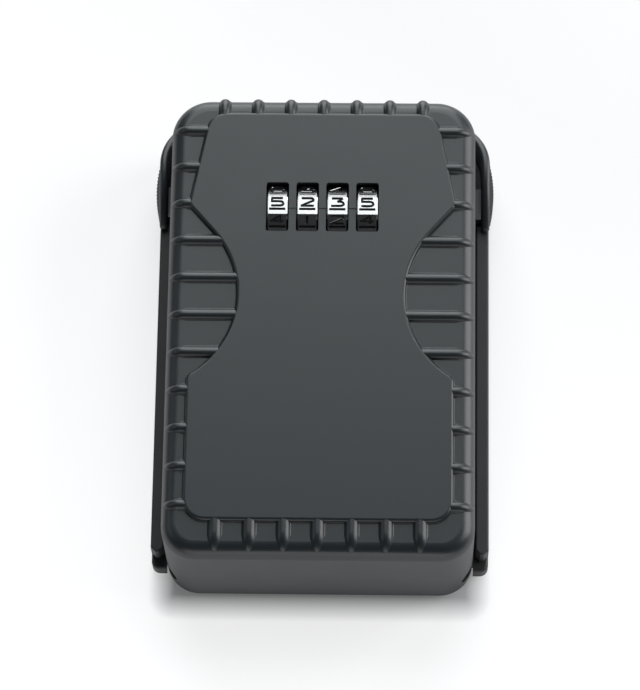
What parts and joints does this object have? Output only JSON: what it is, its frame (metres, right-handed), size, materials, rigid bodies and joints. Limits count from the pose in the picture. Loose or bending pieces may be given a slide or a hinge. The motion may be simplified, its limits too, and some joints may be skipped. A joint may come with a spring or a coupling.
{
  "type": "key lockbox",
  "caption": "Wall key lockbox: deep ribbed black cover hinged at its lower end to a back plate, with a row of chrome number dials and two side tabs squeezed to open it.",
  "frame": {"origin": "centre of the box's outline on the back plate's rear face, which lies on the wall or table", "axes": "+Z out of the front, +Y along the box towards the dial end, +X to the right seen from the front"},
  "size_m": [0.1046, 0.1446, 0.0472],
  "materials": {
    "satin_black": "satin powder coat on cast zinc",
    "matte_black_plate": "matte powder coat",
    "rail_plastic": "fine moulded texture",
    "zinc_steel": "zinc plated sheet steel",
    "pin_steel": "ground steel rod",
    "spring_steel": "drawn spring wire and strip",
    "screw_steel": "plated steel screws",
    "inner_plastic": "moulded black plastic",
    "dial_chrome": "bright chrome plating with black filled numbers",
    "sleeve_acetal": "moulded black acetal"
  },
  "bodies": {
    "base": {"back_plate": "matte_black_plate", "side_rail_left": "rail_plastic", "side_rail_right": "rail_plastic", "catch_left": "zinc_steel", "catch_right": "zinc_steel", "catch_screws": "screw_steel", "hinge_pin": "pin_steel"},
    "cover": {"front_cover": "satin_black", "dial_shaft": "pin_steel", "lock_chassis": "zinc_steel", "locking_bar": "zinc_steel", "detent_spring": "spring_steel", "inner_cover": "inner_plastic", "chassis_screws": "screw_steel", "inner_cover_screws": "screw_steel", "sleeve_spring": "spring_steel", "return_spring_left": "spring_steel", "return_spring_right": "spring_steel"},
    "tab_left": {"squeeze_tab_left": "satin_black", "latch_hook_left": "zinc_steel", "hook_screws_left": "screw_steel"},
    "tab_right": {"squeeze_tab_right": "satin_black", "latch_hook_right": "zinc_steel", "hook_screws_right": "screw_steel"},
    "reset": {"reset_lever": "zinc_steel"},
    "dial_1": {"dial_wheel_1": "dial_chrome"},
    "sleeve_1": {"code_sleeve_1": "sleeve_acetal"},
    "dial_2": {"dial_wheel_2": "dial_chrome"},
    "sleeve_2": {"code_sleeve_2": "sleeve_acetal"},
    "dial_3": {"dial_wheel_3": "dial_chrome"},
    "sleeve_3": {"code_sleeve_3": "sleeve_acetal"},
    "dial_4": {"dial_wheel_4": "dial_chrome"},
    "sleeve_4": {"code_sleeve_4": "sleeve_acetal"}
  },
  "joints": [
    {"name": "cover_hinge", "type": "hinge", "parent": "base", "child": "cover", "pos_m": [0, -0.0675, 0.006], "axis": [1, 0, 0], "range_deg": [0, 95]},
    {"name": "dial_1_turn", "type": "hinge", "parent": "cover", "child": "dial_1", "pos_m": [-0.0135, 0.0363, 0.0386], "axis": [1, 0, 0], "continuous": true},
    {"name": "dial_2_turn", "type": "hinge", "parent": "cover", "child": "dial_2", "pos_m": [-0.0045, 0.0363, 0.0386], "axis": [1, 0, 0], "continuous": true},
    {"name": "dial_3_turn", "type": "hinge", "parent": "cover", "child": "dial_3", "pos_m": [0.0045, 0.0363, 0.0386], "axis": [1, 0, 0], "continuous": true},
    {"name": "dial_4_turn", "type": "hinge", "parent": "cover", "child": "dial_4", "pos_m": [0.0135, 0.0363, 0.0386], "axis": [1, 0, 0], "continuous": true},
    {"name": "squeeze_left", "type": "slide", "parent": "cover", "child": "tab_left", "axis": [1, 0, 0], "range_m": [0, 0.002], "stiffness_N_per_m": 1200, "springref_m": -0.002, "deforming": ["return_spring_left"]},
    {"name": "squeeze_right", "type": "slide", "parent": "cover", "child": "tab_right", "axis": [-1, 0, 0], "range_m": [0, 0.002], "stiffness_N_per_m": 1200, "springref_m": -0.002, "deforming": ["return_spring_right"]},
    {"name": "reset_shift", "type": "slide", "parent": "cover", "child": "reset", "axis": [1, 0, 0], "range_m": [0, 0.001], "stiffness_N_per_m": 1500, "springref_m": -0.001, "deforming": ["sleeve_spring"]},
    {"name": "sleeve_1_shift", "type": "slide", "parent": "dial_1", "child": "sleeve_1", "axis": [1, 0, 0], "range_m": [0, 0.001]},
    {"name": "sleeve_2_shift", "type": "slide", "parent": "dial_2", "child": "sleeve_2", "axis": [1, 0, 0], "range_m": [0, 0.001]},
    {"name": "sleeve_3_shift", "type": "slide", "parent": "dial_3", "child": "sleeve_3", "axis": [1, 0, 0], "range_m": [0, 0.001]},
    {"name": "sleeve_4_shift", "type": "slide", "parent": "dial_4", "child": "sleeve_4", "axis": [1, 0, 0], "range_m": [0, 0.001]}
  ],
  "couplings": [
    {"joint": "sleeve_1_shift", "follows": "reset_shift", "ratio": 1},
    {"joint": "sleeve_2_shift", "follows": "reset_shift", "ratio": 1},
    {"joint": "sleeve_3_shift", "follows": "reset_shift", "ratio": 1},
    {"joint": "sleeve_4_shift", "follows": "reset_shift", "ratio": 1}
  ]
}
